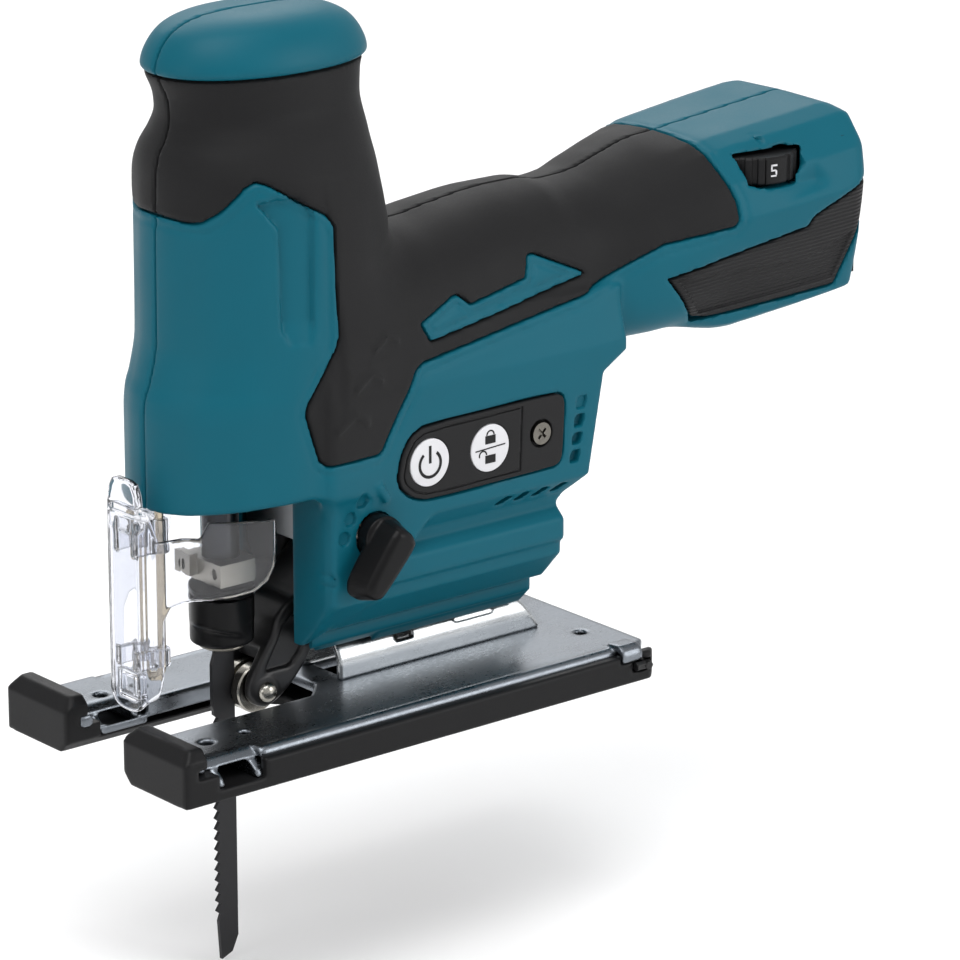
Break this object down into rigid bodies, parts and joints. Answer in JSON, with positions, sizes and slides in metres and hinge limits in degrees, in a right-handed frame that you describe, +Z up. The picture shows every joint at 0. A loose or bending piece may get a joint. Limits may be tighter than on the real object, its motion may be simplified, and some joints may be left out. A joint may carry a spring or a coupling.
{
  "type": "barrel grip battery jigsaw",
  "caption": "Barrel-grip cordless jigsaw with tilting base, orbital lever, speed wheel, clear guard and a wood blade.",
  "frame": {"origin": "point where the blade axis leaves the sole plane, on the parting plane of the housing", "axes": "+X towards the battery end, -X the cutting direction, -Y the user's left, +Z up along the blade"},
  "size_m": [0.2486, 0.0838, 0.2643],
  "materials": {
    "shell": "fine moulded texture",
    "soft_grip": "matte elastomer",
    "black_plastic": "moulded",
    "button_face": "satin",
    "lever_plastic": "moulded",
    "clamp_plastic": "moulded",
    "clear_plastic": "clear moulded",
    "lead_sleeve": "insulated",
    "contact_metal": "bright",
    "circuit_board": "lacquered",
    "screw_steel": "plated",
    "core_steel": "laminated",
    "winding": "enamelled wire",
    "bearing_steel": "ground",
    "shaft_steel": "ground",
    "gear_steel": "machined",
    "rod_steel": "dark ground",
    "sintered_steel": "sintered",
    "cast_frame": "as cast",
    "bush_bronze": "sintered",
    "blade_steel": "black lacquer",
    "black_steel": "black oxide",
    "wire_steel": "drawn",
    "zinc_plate": "zinc plated",
    "bright_steel": "bright plated"
  },
  "bodies": {
    "root": {"housing_left": "shell", "housing_right": "shell", "grip_left": "soft_grip", "grip_right": "soft_grip", "battery_guard_left": "black_plastic", "battery_guard_right": "black_plastic", "battery_mount": "black_plastic", "terminal_contacts": "contact_metal", "battery_leads": "lead_sleeve", "switch_panel": "black_plastic", "panel_screw": "screw_steel", "switch_board": "circuit_board", "dial_holder": "black_plastic", "control_box": "black_plastic", "motor_stator": "core_steel", "stator_coils": "winding", "front_bearing": "bearing_steel", "rear_bearing": "bearing_steel", "gear_housing": "cast_frame", "gear_axle": "shaft_steel", "holder_pins": "shaft_steel", "arm_pin": "shaft_steel", "wire_guard": "wire_steel", "led_lens": "clear_plastic", "housing_screws": "screw_steel", "base_bolt": "screw_steel"},
    "power_key": {"power_button": "button_face"},
    "lock_key": {"lock_button": "button_face"},
    "dial": {"speed_dial": "black_plastic"},
    "rotor": {"rotor_core": "core_steel", "rotor_shaft": "shaft_steel", "cooling_fan": "black_plastic"},
    "crank": {"crank_gear": "gear_steel", "crank_roller": "bearing_steel"},
    "holder": {"plunger_holder": "gear_steel", "plunger_bushes": "bush_bronze"},
    "plunger": {"plunger_rod": "rod_steel", "drive_yoke": "gear_steel", "clamp_block": "sintered_steel", "clamp_cap": "sintered_steel", "blade": "blade_steel"},
    "sleeve": {"clamp_sleeve": "clamp_plastic"},
    "guide": {"guide_arm": "black_steel", "roller_pin": "shaft_steel"},
    "roller": {"guide_roller": "bearing_steel"},
    "lever": {"orbit_lever": "lever_plastic", "lever_shaft": "shaft_steel"},
    "guard": {"dust_guard": "clear_plastic"},
    "base": {"base_plate": "zinc_plate", "tilt_bracket": "bright_steel", "base_cover": "black_plastic", "hex_wrench": "black_steel"}
  },
  "joints": [
    {"name": "base_tilt", "type": "hinge", "parent": "root", "child": "base", "pos_m": [0.06, 0, 0.0135], "axis": [1, 0, 0], "range_deg": [-45, 45]},
    {"name": "rotor_spin", "type": "hinge", "parent": "root", "child": "rotor", "pos_m": [0.07, 0, 0.079], "axis": [1, 0, 0], "continuous": true},
    {"name": "crank_spin", "type": "hinge", "parent": "root", "child": "crank", "pos_m": [0.018, 0, 0.106], "axis": [1, 0, 0], "continuous": true},
    {"name": "holder_swing", "type": "hinge", "parent": "root", "child": "holder", "pos_m": [0, 0, 0.136], "axis": [0, 1, 0], "range_deg": [0, 0.6]},
    {"name": "plunger_stroke", "type": "slide", "parent": "holder", "child": "plunger", "axis": [0, 0, 1], "range_m": [0, 0.026]},
    {"name": "sleeve_turn", "type": "hinge", "parent": "plunger", "child": "sleeve", "pos_m": [0, 0, 0.035], "axis": [0, 0, 1], "range_deg": [0, 40], "stiffness_Nm_per_rad": 0.02},
    {"name": "guide_swing", "type": "hinge", "parent": "root", "child": "guide", "pos_m": [0.024, 0, 0.036], "axis": [0, 1, 0], "range_deg": [0, 4.2]},
    {"name": "roller_spin", "type": "hinge", "parent": "guide", "child": "roller", "pos_m": [0.00906, 0, 0.012], "axis": [0, 1, 0], "continuous": true},
    {"name": "orbit_select", "type": "hinge", "parent": "root", "child": "lever", "pos_m": [0.029, -0.035, 0.058], "axis": [0, 1, 0], "range_deg": [0, 90]},
    {"name": "speed_set", "type": "hinge", "parent": "root", "child": "dial", "pos_m": [0.1735, -0.0182, 0.1352], "axis": [0, 0, 1], "range_deg": [-200, 50]},
    {"name": "power_press", "type": "slide", "parent": "root", "child": "power_key", "axis": [0, 1, 0], "range_m": [0, 0.0008], "stiffness_N_per_m": 800},
    {"name": "lock_press", "type": "slide", "parent": "root", "child": "lock_key", "axis": [0, 1, 0], "range_m": [0, 0.0008], "stiffness_N_per_m": 800},
    {"name": "guard_lift", "type": "slide", "parent": "root", "child": "guard", "axis": [0, 0, 1], "range_m": [0, 0.006]}
  ],
  "couplings": [
    {"joint": "crank_spin", "follows": "rotor_spin", "ratio": -0.2},
    {"joint": "guide_swing", "follows": "holder_swing", "ratio": 5.1667}
  ]
}
